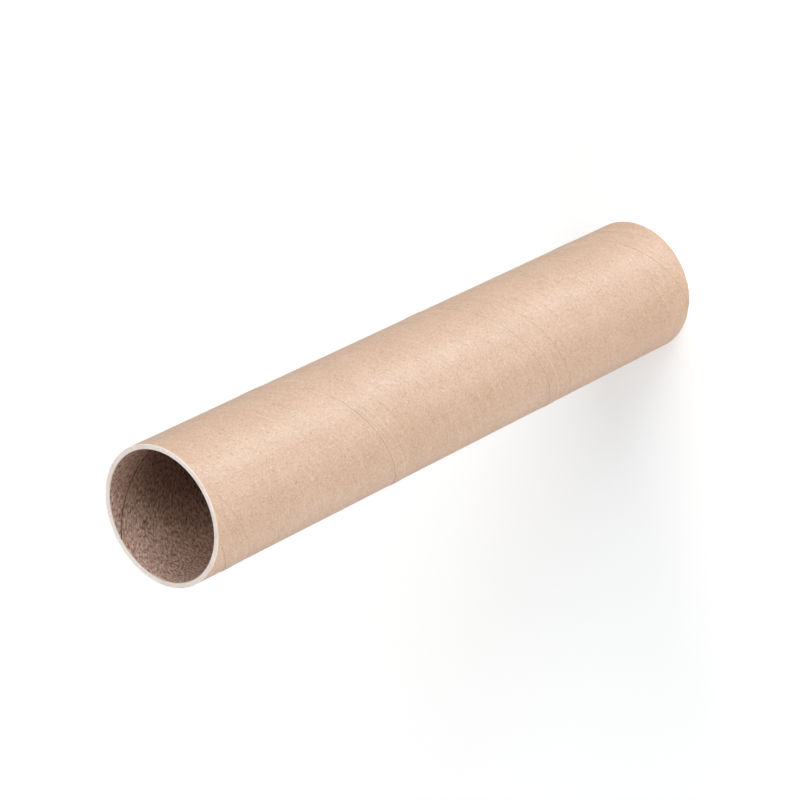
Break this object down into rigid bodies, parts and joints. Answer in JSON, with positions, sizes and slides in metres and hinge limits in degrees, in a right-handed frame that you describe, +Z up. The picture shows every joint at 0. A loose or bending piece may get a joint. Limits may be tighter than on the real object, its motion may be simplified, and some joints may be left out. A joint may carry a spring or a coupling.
{
  "type": "cardboard mailing tube",
  "caption": "Plain spiral-wound cardboard tube, open at both ends, for posting or storing rolled sheets, posters and drawings.",
  "frame": {"origin": "centre of the foot ring, on the surface that the tube stands on", "axes": "+Z up the tube's axis from the foot to the mouth; +X towards the point of the foot where the free edge of the outer wrap starts"},
  "size_m": [0.0824, 0.0824, 0.43],
  "materials": {
    "kraft_board": "matt, with a faint sheen outside"
  },
  "bodies": {
    "root": {"tube": "kraft_board"}
  },
  "joints": []
}
